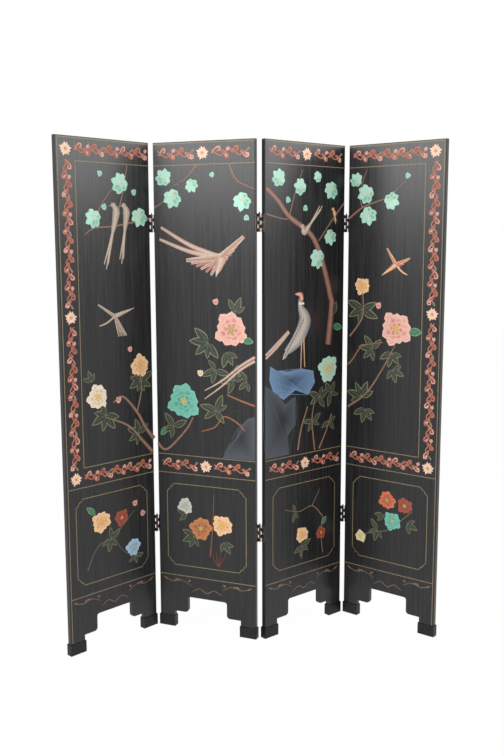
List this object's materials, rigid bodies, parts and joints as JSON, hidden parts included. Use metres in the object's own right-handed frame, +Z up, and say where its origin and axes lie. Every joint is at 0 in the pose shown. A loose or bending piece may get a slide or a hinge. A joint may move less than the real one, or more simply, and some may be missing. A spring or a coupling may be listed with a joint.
{
  "type": "folding screen",
  "caption": "Folding floor screen of tall lacquered panels on capped feet, joined edge to edge by lift-out pin hinges.",
  "frame": {"origin": "middle of the footprint of the standing screen, on the floor", "axes": "+Z up, front of the screen towards -Y, panel 1 at -X"},
  "size_m": [1.3644, 0.4294, 1.83],
  "materials": {
    "lacquer": "satin black lacquer on wood",
    "cap_metal": "black metal",
    "hinge_bronze": "dark bronze",
    "screw_steel": "worn steel"
  },
  "bodies": {
    "panel_1": {"panel_1_board": "lacquer", "panel_1_left_foot_cap": "cap_metal", "panel_1_right_foot_cap": "cap_metal", "hinge_12_top_left_leaf": "hinge_bronze", "hinge_12_top_left_leaf_lower_screw": "screw_steel", "hinge_12_top_left_leaf_upper_screw": "screw_steel", "hinge_12_lower_left_leaf": "hinge_bronze", "hinge_12_lower_left_leaf_lower_screw": "screw_steel", "hinge_12_lower_left_leaf_upper_screw": "screw_steel"},
    "panel_2": {"hinge_12_top_pin": "hinge_bronze", "hinge_12_lower_pin": "hinge_bronze", "panel_2_board": "lacquer", "panel_2_left_foot_cap": "cap_metal", "panel_2_right_foot_cap": "cap_metal", "hinge_12_top_right_leaf": "hinge_bronze", "hinge_12_top_right_leaf_lower_screw": "screw_steel", "hinge_12_top_right_leaf_upper_screw": "screw_steel", "hinge_23_top_left_leaf": "hinge_bronze", "hinge_23_top_left_leaf_lower_screw": "screw_steel", "hinge_23_top_left_leaf_upper_screw": "screw_steel", "hinge_23_top_pin": "hinge_bronze", "hinge_12_lower_right_leaf": "hinge_bronze", "hinge_12_lower_right_leaf_lower_screw": "screw_steel", "hinge_12_lower_right_leaf_upper_screw": "screw_steel", "hinge_23_lower_left_leaf": "hinge_bronze", "hinge_23_lower_left_leaf_lower_screw": "screw_steel", "hinge_23_lower_left_leaf_upper_screw": "screw_steel", "hinge_23_lower_pin": "hinge_bronze"},
    "panel_3": {"panel_3_board": "lacquer", "panel_3_left_foot_cap": "cap_metal", "panel_3_right_foot_cap": "cap_metal", "hinge_23_top_right_leaf": "hinge_bronze", "hinge_23_top_right_leaf_lower_screw": "screw_steel", "hinge_23_top_right_leaf_upper_screw": "screw_steel", "hinge_34_top_left_leaf": "hinge_bronze", "hinge_34_top_left_leaf_lower_screw": "screw_steel", "hinge_34_top_left_leaf_upper_screw": "screw_steel", "hinge_34_top_pin": "hinge_bronze", "hinge_23_lower_right_leaf": "hinge_bronze", "hinge_23_lower_right_leaf_lower_screw": "screw_steel", "hinge_23_lower_right_leaf_upper_screw": "screw_steel", "hinge_34_lower_left_leaf": "hinge_bronze", "hinge_34_lower_left_leaf_lower_screw": "screw_steel", "hinge_34_lower_left_leaf_upper_screw": "screw_steel", "hinge_34_lower_pin": "hinge_bronze"},
    "panel_4": {"panel_4_board": "lacquer", "panel_4_left_foot_cap": "cap_metal", "panel_4_right_foot_cap": "cap_metal", "hinge_34_top_right_leaf": "hinge_bronze", "hinge_34_top_right_leaf_lower_screw": "screw_steel", "hinge_34_top_right_leaf_upper_screw": "screw_steel", "hinge_34_lower_right_leaf": "hinge_bronze", "hinge_34_lower_right_leaf_lower_screw": "screw_steel", "hinge_34_lower_right_leaf_upper_screw": "screw_steel"}
  },
  "joints": [
    {"name": "fold_1_2", "type": "hinge", "parent": "panel_2", "child": "panel_1", "pos_m": [-0.37942, 0.07947, 0.9], "axis": [0, 0, 1], "range_deg": [-68, 112]},
    {"name": "fold_2_3", "type": "hinge", "parent": "panel_2", "child": "panel_3", "pos_m": [0.01418, -0.05151, 0.9], "axis": [0, 0, 1], "range_deg": [-62.5, 117.5]},
    {"name": "fold_3_4", "type": "hinge", "parent": "panel_3", "child": "panel_4", "pos_m": [0.34587, 0.19759, 0.9], "axis": [0, 0, 1], "range_deg": [-101, 79]}
  ]
}
